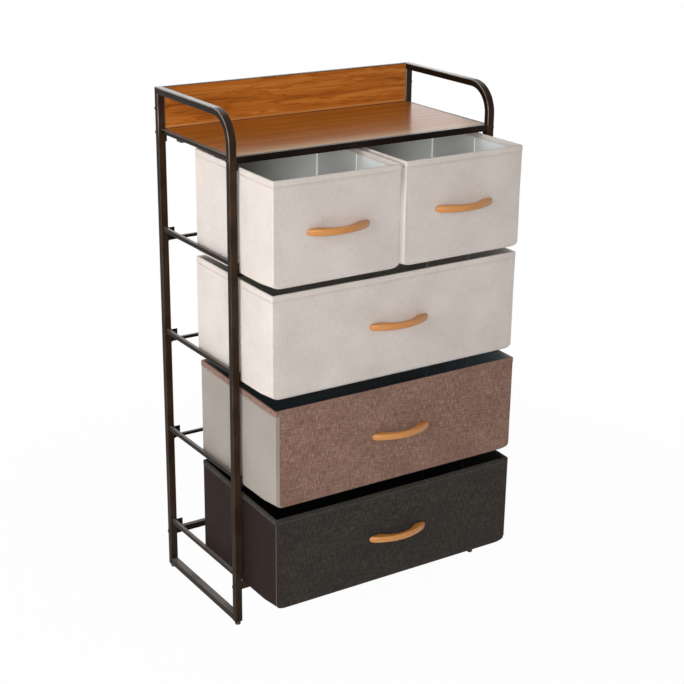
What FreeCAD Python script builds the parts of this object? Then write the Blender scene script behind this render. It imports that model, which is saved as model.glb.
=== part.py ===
import FreeCAD, Part
import math
import os
import re
import Sketcher
from FreeCAD import Placement, Rotation, Vector

# Fabric drawer dresser: a steel tube frame with a shelf and a backboard on top, and
# five fabric drawers on four tiers.  X runs to the right, Y to the back and Z up, with
# the origin on the floor midway between the four feet.  Sizes are in millimetres.
# The drawers stand open, each by its own pull_out.

doc = FreeCAD.newDocument("FabricDrawerDresser")

driving_sizes = [
    # the frame
    ("width", 602, "outside width over the two side frames"),
    ("depth", 297, "outside depth over the posts"),
    ("tube", 13, "side of the cross rails' tube, and the depth of a post"),
    ("post_wide", 16, "width of a post and its runner, seen from the front"),
    ("side_rod", 9, "side of the slim tube of the side rails"),
    ("tube_wall", 1.2, "wall of the tubes"),
    ("tube_corner", 2, "outside corner radius of the tube"),
    ("bend_inner", 47, "inside radius of the bend at the top front"),
    ("foot_height", 8, "floor to the end of a post"),
    ("foot_dia", 12, "diameter of a foot"),
    ("foot_round", 3, "rounding of a foot's lower rim"),
    ("foot_plug", 14, "length of a foot's plug inside the post"),
    ("guard_rise", 81, "top of the shelf to the top of the frame"),
    ("lowest_rest", 92, "floor to the rest of the bottom drawer"),
    ("tier_pitch", 215, "height from one drawer rest to the next"),
    ("guide_rise", 14, "drawer rest to the underside of the side rail beside it"),
    # the racks that carry the drawers
    ("rod", 6, "side of a rack's square rod"),
    ("plate_wide", 12, "width of a rack's end plate"),
    ("plate_thick", 2, "thickness of the end plates and stops"),
    ("stop_wide", 13, "drawer stop, out from the post"),
    ("stop_inset", 11, "back of the post to the back of a drawer stop"),
    ("stop_rise", 21, "end plates and drawer stops above the drawer rest"),
    ("rail_plate_tall", 25, "height of a shelf rail's end plate"),
    # the boards
    ("back_thick", 10, "thickness of the backboard"),
    ("edge_round", 1, "eased edges of the shelf and backboard"),
    ("clip_out", 15, "board clip, out from the side rail"),
    ("clip_long", 20, "board clip, along the side rail"),
    ("clip_thick", 2, "thickness of a board clip"),
    ("clip_spread", 152, "between the two clips of one side"),
    # the fasteners
    ("frame_bolt", 6, "diameter of a frame bolt"),
    ("frame_bolt_head", 10, "diameter of its head"),
    ("frame_bolt_rise", 2.8, "height of its head"),
    ("frame_bolt_key", 4.6, "hexagon socket of its head, over the corners"),
    ("frame_bolt_grip", 13, "frame bolt beyond the post"),
    ("insert_long", 16, "threaded insert in the end of a cross rail"),
    ("rack_bolt", 5, "diameter of a rack bolt"),
    ("rack_bolt_head", 8, "diameter of its head"),
    ("rack_bolt_rise", 2, "height of its head"),
    ("rack_bolt_key", 3.4, "hexagon socket of its head, over the corners"),
    ("rack_bolt_lift", 9, "drawer rest up to the rack bolts"),
    ("nut_dia", 9, "diameter of a weld nut inside a post"),
    ("nut_long", 5, "length of a weld nut"),
    ("board_screw", 4, "diameter of a shelf screw"),
    ("board_screw_head", 7, "diameter of its head"),
    ("board_screw_rise", 2.2, "height of its head"),
    ("board_screw_grip", 8, "shelf screw in the shelf"),
    ("pull_screw", 3, "diameter of a handle screw"),
    ("pull_screw_head", 8, "diameter of its head"),
    ("pull_screw_rise", 2.4, "height of its head"),
    ("pull_screw_grip", 9, "handle screw in the handle"),
    ("seat", 0.3, "gap between pieces that rest on, or lie in, each other"),
    ("play", 0.25, "clearance all round a screw, bolt or plug"),
    # the drawers
    ("bin_deep", 291, "outside depth of a fabric bin"),
    ("bin_headroom", 11, "top of a bin, as tall as its tier lets it be, to the rod above"),
    ("shelf_gap", 9, "top of the highest bins to the rails of the shelf"),
    ("side_gap", 5.5, "post to the side of a bin"),
    ("middle_gap", 10, "between the two half-width bins"),
    ("bin_wall", 4, "padded wall of a bin"),
    ("bin_floor", 3, "floor of a bin"),
    ("bin_corner", 8, "rounding of a bin's upright corners"),
    ("bin_base_round", 6, "rounding under a bin"),
    ("front_board_thick", 5, "thickness of the board behind a bin's front"),
    ("front_board_drop", 12, "rim of the bin to the top of that board"),
    ("base_board_thick", 4, "thickness of a bin's base board"),
    ("board_play", 1, "base board to the bin's walls"),
    # the handles
    ("handle_long", 135, "length of a handle"),
    ("handle_bow", 26, "how far a handle stands out"),
    ("handle_thick", 9, "thickness in the middle of the bow"),
    ("handle_tip", 4, "thickness at a handle's ends"),
    ("handle_tall", 13, "height of a handle"),
    ("handle_finger", 84, "width of the finger gap at the fabric"),
    ("handle_screws", 104, "between the two screws of a handle"),
    ("handle_round", 3.5, "rounding of a handle's outer edges"),
    # how far each drawer stands open, and how far from the middle of its front its handle
    # is fitted; less than 0 is left or down
    ("bottom_drawer_pull_out", 116, "how far the bottom drawer stands open"),
    ("bottom_drawer_pull_right", 2, "its handle, to the right"),
    ("bottom_drawer_pull_up", -6.5, "its handle, up"),
    ("lower_drawer_pull_out", 116, "how far the lower drawer stands open"),
    ("lower_drawer_pull_right", 3.5, "its handle, to the right"),
    ("lower_drawer_pull_up", -1, "its handle, up"),
    ("upper_drawer_pull_out", 106, "how far the upper drawer stands open"),
    ("upper_drawer_pull_right", -1, "its handle, to the right"),
    ("upper_drawer_pull_up", 6.5, "its handle, up"),
    ("top_left_drawer_pull_out", 110, "how far the top left drawer stands open"),
    ("top_left_drawer_pull_right", -0.5, "its handle, to the right"),
    ("top_left_drawer_pull_up", -1.5, "its handle, up"),
    ("top_right_drawer_pull_out", 110, "how far the top right drawer stands open"),
    ("top_right_drawer_pull_right", -1, "its handle, to the right"),
    ("top_right_drawer_pull_up", 3, "its handle, up"),
]

sheet = doc.addObject("Spreadsheet::Sheet", "Sizes")
for row, (alias, size, note) in enumerate(driving_sizes, start=1):
    sheet.set(f"A{row}", alias)
    sheet.set(f"B{row}", str(size))
    sheet.set(f"C{row}", note)
    sheet.setAlias(f"B{row}", alias)
doc.recompute()
aliases = {alias for alias, _, _ in driving_sizes}

# Sizes and places that several pieces share, as expressions on the sheet.
post_x = "(width - post_wide) / 2"
post_y = "(depth - tube) / 2"
inner_x = "(width / 2 - post_wide)"
inner_y = "(depth / 2 - tube)"
rests = [f"(lowest_rest + {tier} * tier_pitch)" for tier in range(4)]
bottom_mid = "(lowest_rest - tube / 2)"

bin_full = f"(2 * {inner_x} - 2 * side_gap)"
bin_half = f"(({bin_full} - middle_gap) / 2)"
half_x = f"(({bin_half} + middle_gap) / 2)"
bin_tall = "(tier_pitch - rod - bin_headroom)"
stop_y = "(depth / 2 - stop_inset - plate_thick)"
closed_y = f"({stop_y} - seat - bin_deep)"

shelf_low = f"({rests[3]} + {bin_tall} + shelf_gap)"
shelf_mid = f"({shelf_low} + tube / 2)"
shelf_top = f"({shelf_low} + tube)"
back_mid = f"({shelf_top} + guard_rise / 2)"
height = f"({shelf_top} + guard_rise)"

sides = {"left": -1, "right": 1}
inward = {"left": "+x", "right": "-x"}
outward = {"left": "-x", "right": "+x"}


# ---- primitives, sketches and features bound to the sheet

def bound(text):
    """Put the sheet's name before each size that an expression names."""
    return re.sub("[a-z_]+", lambda word: f"Sizes.{word[0]}" if word[0] in aliases
                  else word[0], text)


def amount(text):
    """The present value of an expression."""
    return float(sheet.evalExpression(bound(text)))


turns = {
    "+x": Rotation(Vector(0, 1, 0), 90),
    "-x": Rotation(Vector(0, 1, 0), -90),
    "+y": Rotation(Vector(1, 0, 0), -90),
    "-y": Rotation(Vector(1, 0, 0), 90),
    "+z": Rotation(),
    "-z": Rotation(Vector(1, 0, 0), 180),
}
opposite = {axis: ("-" if axis[0] == "+" else "+") + axis[1] for axis in turns}


def place(item, spot, axis="+z"):
    """Turn the item's own Z to the axis and bind its place to the sheet."""
    item.Placement = Placement(Vector(), turns[axis])
    for letter, text in zip("xyz", spot):
        item.setExpression(f"Placement.Base.{letter}", bound(text))
    return item


def block(name, spot, size):
    """A box centred on the spot in X and Y, and standing on its Z."""
    item = doc.addObject("Part::Box", name)
    for side, text in zip(("Length", "Width", "Height"), size):
        item.setExpression(side, bound(text))
    corner = [f"{spot[k]} - ({size[k]}) / 2" for k in range(2)]
    return place(item, (*corner, spot[2]))


def cylinder(name, base, axis, diameter, length):
    """A cylinder from the centre of its base, along the axis."""
    item = doc.addObject("Part::Cylinder", name)
    item.setExpression("Radius", bound(f"({diameter}) / 2"))
    item.setExpression("Height", bound(length))
    return place(item, base, axis)


def hexagon(name, base, axis, over_corners, length):
    item = doc.addObject("Part::Prism", name)
    item.Polygon = 6
    item.setExpression("Circumradius", bound(f"({over_corners}) / 2"))
    item.setExpression("Height", bound(length))
    return place(item, base, axis)


def fuse(name, pieces):
    item = doc.addObject("Part::MultiFuse", name)
    item.Shapes = pieces
    return item


def cut(name, base, tools):
    item = doc.addObject("Part::Cut", name)
    item.Base = base
    item.Tool = tools[0] if len(tools) == 1 else fuse(f"{name}_tools", tools)
    return item


def new_body(name):
    return doc.addObject("PartDesign::Body", name)


def new_sketch(body, name, plane, lift="0"):
    """A sketch on one of the body's origin planes, lifted along its normal."""
    sketch = body.newObject("Sketcher::SketchObject", name)
    origin = body.Origin.OriginFeatures
    sketch.AttachmentSupport = [(next(part for part in origin if part.Role == plane), "")]
    sketch.MapMode = "FlatFace"
    sketch.setExpression("AttachmentOffset.Base.z", bound(lift))
    return sketch


def constrain(sketch, kind, *where, size=None):
    """Add a constraint; one that carries a size is bound to the sheet."""
    if size is None:
        sketch.addConstraint(Sketcher.Constraint(kind, *where))
        return
    number = sketch.addConstraint(Sketcher.Constraint(kind, *where, amount(size)))
    sketch.setExpression(f"Constraints[{number}]", bound(size))


def add_line(sketch, start, end):
    return sketch.addGeometry(Part.LineSegment(Vector(*start, 0), Vector(*end, 0)))


def add_arc(sketch, start, middle, end):
    return sketch.addGeometry(Part.Arc(*(Vector(*point, 0) for point in (start, middle, end))))


def rectangle(sketch, wide, tall):
    """A sharp rectangle centred on the sketch's origin."""
    half_wide = amount(wide) / 2
    half_tall = amount(tall) / 2
    corners = [(-half_wide, -half_tall), (half_wide, -half_tall),
               (half_wide, half_tall), (-half_wide, half_tall)]
    lines = [add_line(sketch, corners[k], corners[(k + 1) % 4]) for k in range(4)]
    for k in range(4):
        constrain(sketch, "Coincident", lines[k], 2, lines[(k + 1) % 4], 1)
        constrain(sketch, "Vertical" if k % 2 else "Horizontal", lines[k])
    constrain(sketch, "Symmetric", lines[0], 1, lines[2], 1, -1, 1)
    constrain(sketch, "DistanceX", lines[0], 1, lines[0], 2, size=wide)
    constrain(sketch, "DistanceY", lines[1], 1, lines[1], 2, size=tall)


def rounded_rectangle(sketch, wide, tall, radius):
    """A rectangle with rounded corners, centred on the sketch's origin."""
    reach_x = amount(wide) / 2
    reach_y = amount(tall) / 2
    bend = amount(radius)
    straight_x = reach_x - bend
    straight_y = reach_y - bend
    ends = [((-straight_x, -reach_y), (straight_x, -reach_y)),
            ((reach_x, -straight_y), (reach_x, straight_y)),
            ((straight_x, reach_y), (-straight_x, reach_y)),
            ((-reach_x, straight_y), (-reach_x, -straight_y))]
    corners = [(straight_x, -straight_y), (straight_x, straight_y),
               (-straight_x, straight_y), (-straight_x, -straight_y)]
    lines = [add_line(sketch, *pair) for pair in ends]
    arcs = []
    for k, (x, y) in enumerate(corners):
        circle = Part.Circle(Vector(x, y, 0), Vector(0, 0, 1), bend)
        start = (k - 1) * math.pi / 2
        arcs.append(sketch.addGeometry(
            Part.ArcOfCircle(circle, start, start + math.pi / 2)))
    for k in range(4):
        constrain(sketch, "Tangent", lines[k], 2, arcs[k], 1)
        constrain(sketch, "Tangent", arcs[k], 2, lines[(k + 1) % 4], 1)
        constrain(sketch, "Vertical" if k % 2 else "Horizontal", lines[k])
    for k in range(1, 4):
        constrain(sketch, "Equal", arcs[0], arcs[k])
    constrain(sketch, "Radius", arcs[0], size=radius)
    constrain(sketch, "Symmetric", arcs[0], 3, arcs[2], 3, -1, 1)
    constrain(sketch, "DistanceX", lines[3], 1, lines[1], 1, size=wide)
    constrain(sketch, "DistanceY", lines[0], 1, lines[2], 1, size=tall)


def circle(sketch, diameter):
    """A circle on the sketch's origin."""
    ring = sketch.addGeometry(Part.Circle(Vector(), Vector(0, 0, 1), amount(diameter) / 2))
    constrain(sketch, "Coincident", ring, 3, -1, 1)
    constrain(sketch, "Diameter", ring, size=diameter)


def pad(body, sketch, length, both_ways=False):
    item = body.newObject("PartDesign::Pad", f"{sketch.Name}_pad")
    item.Profile = sketch
    item.SideType = "Symmetric" if both_ways else "One side"
    item.setExpression("Length", bound(length))
    doc.recompute()


def hollow(body, sketch, depth):
    """Cut the sketch down into the body, and make sure that something went."""
    before = body.Shape.Volume
    item = body.newObject("PartDesign::Pocket", f"{sketch.Name}_pocket")
    item.Profile = sketch
    item.setExpression("Length", bound(depth))
    doc.recompute()
    if body.Shape.Volume > before - 1:
        raise RuntimeError(f"{item.Name} cuts nothing")


def soften(body, radius, wanted):
    """Round the edges of the body so far that wanted() picks."""
    tip = body.Tip
    names = [f"Edge{number}" for number, edge in enumerate(tip.Shape.Edges, start=1)
             if wanted(edge)]
    item = body.newObject("PartDesign::Fillet", f"{tip.Name}_round")
    item.Base = (tip, names)
    item.setExpression("Radius", bound(radius))
    doc.recompute()


def lies_at(edge, letter, level):
    """True for an edge that lies in the plane where the letter's axis has that level."""
    reach = edge.BoundBox
    low = getattr(reach, f"{letter}Min")
    high = getattr(reach, f"{letter}Max")
    return abs(low - level) < 0.01 and abs(high - level) < 0.01


nodes = []


def node(item, label):
    """Keep a finished piece; its label is the name of its file."""
    item.Label = label
    nodes.append(item)
    return item


# ---- the pieces of tube

def tube_section(body, wide, tall):
    sketch = new_sketch(body, f"{body.Name}_section", "XY_Plane")
    rounded_rectangle(sketch, wide, tall, "tube_corner")
    rectangle(sketch, f"{wide} - 2 * tube_wall", f"{tall} - 2 * tube_wall")
    return sketch


def straight_tube(name, base, axis, length, wide, tall="tube"):
    """A straight length of tube, from the centre of one end along the axis."""
    body = new_body(name)
    pad(body, tube_section(body, wide, tall), length)
    return place(body, base, axis)


def bent_tube(name, base, rise, run):
    """A tube that rises from its base, bends back and runs level to the rear."""
    body = new_body(name)
    section = tube_section(body, "post_wide", "tube")
    path = new_sketch(body, f"{name}_path", "YZ_Plane")
    bend = "(bend_inner + tube / 2)"
    rise_mm, run_mm, bend_mm = (amount(text) for text in (rise, run, bend))
    upright = add_line(path, (0, 0), (0, rise_mm - bend_mm))
    turn = path.addGeometry(Part.ArcOfCircle(
        Part.Circle(Vector(bend_mm, rise_mm - bend_mm, 0), Vector(0, 0, 1), bend_mm),
        math.pi / 2, math.pi))
    level = add_line(path, (bend_mm, rise_mm), (run_mm, rise_mm))
    constrain(path, "Coincident", upright, 1, -1, 1)
    constrain(path, "Vertical", upright)
    constrain(path, "Horizontal", level)
    constrain(path, "Tangent", upright, 2, turn, 2)
    constrain(path, "Tangent", turn, 1, level, 1)
    constrain(path, "Radius", turn, size=bend)
    constrain(path, "DistanceY", upright, 1, level, 2, size=rise)
    constrain(path, "DistanceX", upright, 1, level, 2, size=run)
    doc.recompute()
    sweep = body.newObject("PartDesign::AdditivePipe", f"{name}_sweep")
    sweep.Profile = section
    sweep.Spine = (path, [])
    doc.recompute()
    return place(body, base)


def mitre_tool(name, side_x, above):
    """A block that takes away all above, or all below, the mitre at the top rear corner."""
    tool = doc.addObject("Part::Box", name)
    for side in ("Length", "Width", "Height"):
        tool.setExpression(side, bound("4 * tube"))
    tool.Placement = Placement(Vector(), Rotation(Vector(1, 0, 0), 45 if above else -135))
    reach = "2 * tube / sqrt(2)"
    shift = "-" if above else "+"
    tool.setExpression("Placement.Base.x", bound(f"{side_x} - 2 * tube"))
    tool.setExpression("Placement.Base.y", bound(f"{inner_y} {shift} {reach}"))
    tool.setExpression("Placement.Base.z", bound(f"{height} - tube {shift} {reach}"))
    return tool


def cross_hole(name, side, spot_y, spot_z, depth):
    """A clearance hole for a frame bolt, in from the outer face of one side."""
    return cylinder(name, (f"{sides[side]} * width / 2", spot_y, spot_z), inward[side],
                    "frame_bolt + 2 * play", depth)


def make_post(name, side, tube, spot_y, bolt_levels, mitre):
    """Add the weld nuts of the rack bolts, then cut the mitre and every bolt hole."""
    sign = sides[side]
    wall_x = f"{sign} * ({inner_x} + tube_wall)"
    nuts = [cylinder(f"{name}_nut{k}", (wall_x, spot_y, f"{rest} + rack_bolt_lift"),
                     outward[side], "nut_dia", "nut_long")
            for k, rest in enumerate(rests[1:])]
    rack_holes = [cylinder(f"{name}_rack_hole{k}",
                           (f"{sign} * {inner_x}", spot_y, f"{rest} + rack_bolt_lift"),
                           outward[side], "rack_bolt + 2 * play",
                           "tube_wall + nut_long")
                  for k, rest in enumerate(rests[1:])]
    frame_holes = [cross_hole(f"{name}_hole{k}", side, spot_y, level, "post_wide")
                   for k, level in enumerate(bolt_levels)]
    whole = fuse(f"{name}_with_nuts", [tube, *nuts])
    return node(cut(f"{name}_cut", whole, [mitre, *rack_holes, *frame_holes]), name)


def make_side(side):
    """One welded side frame: bent front tube, rear post, runner and side rails."""
    sign = sides[side]
    centre_x = f"{sign} * {post_x}"
    front = bent_tube(f"{side}_bent_tube", (centre_x, f"-1 * {post_y}", "foot_height"),
                      f"{height} - tube / 2 - foot_height", "depth - tube / 2")
    make_post(f"{side}_top_tube", side, front, f"-1 * {post_y}", [bottom_mid, shelf_mid],
              mitre_tool(f"{side}_rail_mitre", centre_x, above=False))
    rear = straight_tube(f"{side}_rear_tube", (centre_x, post_y, "foot_height"), "+z",
                         f"{height} - foot_height", "post_wide")
    make_post(f"{side}_rear_post", side, rear, post_y, [bottom_mid, shelf_mid, back_mid],
              mitre_tool(f"{side}_post_mitre", centre_x, above=True))

    def side_tube(name, spot_x, level, wide, tall):
        return straight_tube(name, (spot_x, f"-1 * {inner_y}", level), "+y",
                             f"2 * {inner_y}", wide, tall)

    runner = side_tube(f"{side}_runner_tube", centre_x, "foot_height + tube / 2", "post_wide",
                       "tube")
    node(runner, f"{side}_floor_runner")
    for rest, tier in zip(rests, ("bottom", "lower", "upper", "top")):
        rail = side_tube(f"{side}_{tier}_tube", centre_x, f"{rest} + guide_rise + side_rod / 2",
                         "side_rod", "side_rod")
        node(rail, f"{side}_{tier}_side_rail")

    clip_x = f"{sign} * ({inner_x} - clip_out / 2 + clip_thick / 2)"
    arm_x = f"{sign} * ({inner_x} + clip_thick / 2)"
    screw_x = f"{sign} * ({inner_x} - clip_out / 2)"
    clips = []
    holes = []
    for end in (-1, 1):
        spot_y = f"{end} * clip_spread / 2"
        clips.append(block(f"{side}_clip{len(clips)}",
                           (clip_x, spot_y, f"{shelf_low} - clip_thick"),
                           ("clip_out + clip_thick", "clip_long", "clip_thick")))
        clips.append(block(f"{side}_clip_arm{len(clips)}",
                           (arm_x, spot_y, f"{shelf_low} - clip_thick"),
                           ("clip_thick", "clip_long",
                            "clip_thick + tube - side_rod + tube_corner")))
        holes.append(cylinder(f"{side}_clip_hole{len(holes)}",
                              (screw_x, spot_y, f"{shelf_low} - clip_thick"), "+z",
                              "board_screw + 2 * play", "clip_thick"))
    rail = side_tube(f"{side}_shelf_tube", f"{sign} * ({inner_x} + side_rod / 2)",
                     f"{shelf_top} - side_rod / 2", "side_rod", "side_rod")
    with_clips = fuse(f"{side}_shelf_rail_clips", [rail, *clips])
    node(cut(f"{side}_shelf_rail_cut", with_clips, holes), f"{side}_shelf_side_rail")


def make_cross_rail(name, spot_y, level, plates=False, stops=False):
    """A rail between the posts, with a threaded insert in each end."""
    thick = "plate_thick" if plates else "0"
    start_x = f"({inner_x} - {thick})"
    rail = straight_tube(f"{name}_tube", (f"-1 * {start_x}", spot_y, level), "+x",
                         f"2 * {start_x}", "tube")
    pieces = [rail]
    holes = []
    for side, sign in sides.items():
        bore = "tube - 2 * tube_wall"
        pieces.append(block(f"{name}_{side}_insert",
                            (f"{sign} * ({start_x} - insert_long / 2)", spot_y,
                             f"{level} - ({bore}) / 2"),
                            ("insert_long", bore, bore)))
        holes.append(cylinder(f"{name}_{side}_hole",
                              (f"{sign} * {inner_x}", spot_y, level), inward[side],
                              "frame_bolt + 2 * play", f"{thick} + insert_long"))
        if plates:
            pieces.append(block(f"{name}_{side}_plate",
                                (f"{sign} * ({inner_x} - plate_thick / 2)", spot_y,
                                 f"{level} + tube / 2 - rail_plate_tall"),
                                ("plate_thick", "tube", "rail_plate_tall")))
        if stops:
            pieces.append(block(f"{name}_{side}_stop",
                                (f"{sign} * ({inner_x} - stop_wide / 2)",
                                 f"{stop_y} + plate_thick / 2", level),
                                ("stop_wide", "plate_thick", "tube / 2 + stop_rise")))
    return node(cut(f"{name}_cut", fuse(f"{name}_welded", pieces), holes), name)


# ---- the racks of the three upper tiers

def make_rack(name, rest):
    """Two cross rods and two glide rods, welded to end plates that bolt to the posts."""
    low = f"{rest} - rod"
    plate_x = f"({inner_x} - plate_thick)"
    pieces = []
    holes = []
    for end, sign_y in (("front", -1), ("rear", 1)):
        spot_y = f"{sign_y} * {post_y}"
        pieces.append(block(f"{name}_{end}_rod", ("0", spot_y, low),
                            (f"2 * {plate_x}", "rod", "rod")))
        for side, sign in sides.items():
            pieces.append(block(f"{name}_{end}_{side}_plate",
                                (f"{sign} * ({inner_x} - plate_thick / 2)", spot_y, low),
                                ("plate_thick", "plate_wide", "rod + stop_rise")))
            holes.append(cylinder(f"{name}_{end}_{side}_hole",
                                  (f"{sign} * {inner_x}", spot_y,
                                   f"{rest} + rack_bolt_lift"),
                                  inward[side], "rack_bolt + 2 * play", "plate_thick"))
    for side, sign in sides.items():
        pieces.append(block(f"{name}_{side}_glide", (f"{sign} * {half_x}", "0", low),
                            ("rod", f"2 * {post_y}", "rod")))
        pieces.append(block(f"{name}_{side}_stop",
                            (f"{sign} * ({inner_x} - stop_wide / 2)",
                             f"{stop_y} + plate_thick / 2", rest),
                            ("stop_wide", "plate_thick", "stop_rise")))
    return node(cut(f"{name}_cut", fuse(f"{name}_welded", pieces), holes), name)


# ---- the boards

def make_board(name, spot, size):
    """A board centred on the spot in X and Y and standing on its Z, with eased edges."""
    wide, deep, tall = size
    body = new_body(f"{name}_blank")
    outline = new_sketch(body, f"{name}_outline", "XY_Plane")
    rectangle(outline, wide, deep)
    pad(body, outline, tall)
    soften(body, "edge_round", lambda edge: True)
    return place(body, spot)


def make_shelf():
    wide = f"2 * {inner_x} - 2 * seat"
    deep = f"2 * {inner_y} - 2 * seat"
    blank = make_board("shelf", ("0", "0", f"{shelf_low} + seat"), (wide, deep, "tube - seat"))
    holes = []
    for side, sign in sides.items():
        for end in (-1, 1):
            holes.append(cylinder(
                f"shelf_hole{len(holes)}",
                (f"{sign} * ({inner_x} - clip_out / 2)", f"{end} * clip_spread / 2",
                 f"{shelf_low}"),
                "+z", "board_screw + 2 * play", "board_screw_grip + seat"))
    node(cut("shelf_cut", blank, holes), "shelf_board")


def make_backboard():
    wide = f"2 * {inner_x} - 2 * seat"
    blank = make_board("backboard_panel", ("0", post_y, f"{shelf_top} + seat"),
                       (wide, "back_thick", "guard_rise - seat"))
    holes = [cylinder(f"backboard_{side}_hole", (f"{sign} * {inner_x}", post_y, back_mid),
                      inward[side], "frame_bolt + 2 * play", "frame_bolt_grip + seat")
             for side, sign in sides.items()]
    node(cut("backboard_cut", blank, holes), "backboard")


# ---- the feet and the fasteners

def make_foot(name, spot):
    """A plug foot: a round pad with an eased rim, under a plug in the end of the post."""
    body = new_body(name)
    outline = new_sketch(body, f"{name}_pad_outline", "XY_Plane")
    circle(outline, "foot_dia")
    pad(body, outline, "foot_height")
    soften(body, "foot_round", lambda edge: lies_at(edge, "Z", 0))
    plug = new_sketch(body, f"{name}_plug_outline", "XY_Plane", lift="foot_height")
    circle(plug, "tube - 2 * tube_wall - 2 * play")
    pad(body, plug, "foot_plug")
    return place(body, spot)


def make_fastener(name, spot, axis, kind, length, key=True):
    """A bolt or screw: the spot is under its head, and its shank runs along the axis."""
    shank = cylinder(f"{name}_shank", spot, axis, kind, length)
    head = cylinder(f"{name}_head", spot, opposite[axis], f"{kind}_head", f"{kind}_rise")
    whole = fuse(f"{name}_solid", [shank, head])
    if not key:
        return whole
    socket = hexagon(f"{name}_socket", spot, opposite[axis], f"{kind}_key", f"{kind}_rise")
    return cut(name, whole, [socket])


def group(label, pieces):
    """Identical pieces kept as one node of separate solids."""
    item = doc.addObject("Part::Compound", f"{label}_group")
    item.Links = pieces
    return node(item, label)


def make_feet_and_frame_fasteners():
    feet = []
    frame_bolts = []
    rack_bolts = []
    back_bolts = []
    board_screws = []
    grip = "post_wide + frame_bolt_grip"
    for side, sign in sides.items():
        outer = f"{sign} * width / 2"
        plate_face = f"{sign} * ({inner_x} - plate_thick)"
        for end in (-1, 1):
            spot_y = f"{end} * {post_y}"
            feet.append(make_foot(f"foot{len(feet)}", (f"{sign} * {post_x}", spot_y, "0")))
            for level in (bottom_mid, shelf_mid):
                frame_bolts.append(make_fastener(f"frame_bolt{len(frame_bolts)}",
                                                 (outer, spot_y, level), inward[side],
                                                 "frame_bolt", grip))
            for rest in rests[1:]:
                rack_bolts.append(make_fastener(
                    f"rack_bolt{len(rack_bolts)}",
                    (plate_face, spot_y, f"{rest} + rack_bolt_lift"), outward[side],
                    "rack_bolt", "plate_thick + tube_wall + nut_long"))
            board_screws.append(make_fastener(
                f"board_screw{len(board_screws)}",
                (f"{sign} * ({inner_x} - clip_out / 2)", f"{end} * clip_spread / 2",
                 f"{shelf_low} - clip_thick"),
                "+z", "board_screw", "clip_thick + board_screw_grip", key=False))
        back_bolts.append(make_fastener(f"back_bolt{len(back_bolts)}",
                                        (outer, post_y, back_mid), inward[side],
                                        "frame_bolt", grip))
    group("feet", feet)
    group("frame_bolts", frame_bolts)
    group("rack_bolts", rack_bolts)
    group("backboard_bolts", back_bolts)
    group("board_screws", board_screws)


# ---- the drawers

def make_bin(name, spot, wide):
    """A fabric bin, open on top; the spot is the middle of its underside."""
    body = new_body(f"{name}_shell")
    outline = new_sketch(body, f"{name}_outline", "XY_Plane")
    rounded_rectangle(outline, wide, "bin_deep", "bin_corner")
    pad(body, outline, bin_tall)
    soften(body, "bin_base_round", lambda edge: lies_at(edge, "Z", 0))
    mouth = new_sketch(body, f"{name}_mouth", "XY_Plane", lift=bin_tall)
    rounded_rectangle(mouth, f"{wide} - 2 * bin_wall", "bin_deep - 2 * bin_wall",
                      "bin_corner - bin_wall")
    hollow(body, mouth, f"{bin_tall} - bin_floor")
    return place(body, spot)


def make_base_board(name, spot, wide):
    """The loose board on a bin's floor, rounded in the corners as the bin is."""
    inset = "(bin_wall + board_play)"
    body = new_body(f"{name}_base")
    outline = new_sketch(body, f"{name}_base_outline", "XY_Plane")
    rounded_rectangle(outline, f"{wide} - 2 * {inset}", f"bin_deep - 2 * {inset}",
                      "bin_corner - bin_wall")
    pad(body, outline, "base_board_thick")
    return place(body, spot)


def arc_radius(chord, rise):
    return f"(({chord} / 2) ^ 2 + {rise} ^ 2) / (2 * {rise})"


def make_bow(name, spot):
    """A wooden bow with a flat foot at each end and a finger gap between them.

    The spot is the middle of its back, which lies along X; the bow stands out to -Y.
    """
    half_long = amount("handle_long / 2")
    half_finger = amount("handle_finger / 2")
    bow, thick, tip = (amount(text) for text in ("handle_bow", "handle_thick", "handle_tip"))
    body = new_body(f"{name}_bow")
    outline = new_sketch(body, f"{name}_bow_outline", "XY_Plane")
    left_foot = add_line(outline, (-half_long, 0), (-half_finger, 0))
    right_foot = add_line(outline, (half_finger, 0), (half_long, 0))
    left_tip = add_line(outline, (-half_long, -tip), (-half_long, 0))
    right_tip = add_line(outline, (half_long, 0), (half_long, -tip))
    gap = add_arc(outline, (-half_finger, 0), (0, thick - bow), (half_finger, 0))
    back = add_arc(outline, (-half_long, -tip), (0, -bow), (half_long, -tip))
    for first, first_end, second, second_end in (
            (left_foot, 2, gap, 1), (gap, 2, right_foot, 1), (right_foot, 2, right_tip, 1),
            (right_tip, 2, back, 2), (back, 1, left_tip, 1), (left_tip, 2, left_foot, 1)):
        constrain(outline, "Coincident", first, first_end, second, second_end)
    constrain(outline, "PointOnObject", left_foot, 1, -1)
    constrain(outline, "Symmetric", left_foot, 1, right_foot, 2, -2)
    constrain(outline, "Symmetric", left_foot, 2, right_foot, 1, -2)
    constrain(outline, "Horizontal", left_foot)
    constrain(outline, "Vertical", left_tip)
    constrain(outline, "Vertical", right_tip)
    constrain(outline, "Equal", left_tip, right_tip)
    constrain(outline, "DistanceX", left_foot, 1, right_foot, 2, size="handle_long")
    constrain(outline, "DistanceX", left_foot, 2, right_foot, 1, size="handle_finger")
    constrain(outline, "DistanceY", right_tip, 2, right_tip, 1, size="handle_tip")
    constrain(outline, "Radius", gap,
              size=arc_radius("handle_finger", "(handle_bow - handle_thick)"))
    constrain(outline, "Radius", back,
              size=arc_radius("handle_long", "(handle_bow - handle_tip)"))
    pad(body, outline, "handle_tall", both_ways=True)
    soften(body, "handle_round", lambda edge: edge.Curve.TypeId == "Part::GeomCircle"
           and edge.BoundBox.YMax < 0.01 - tip)
    return place(body, spot)


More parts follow.
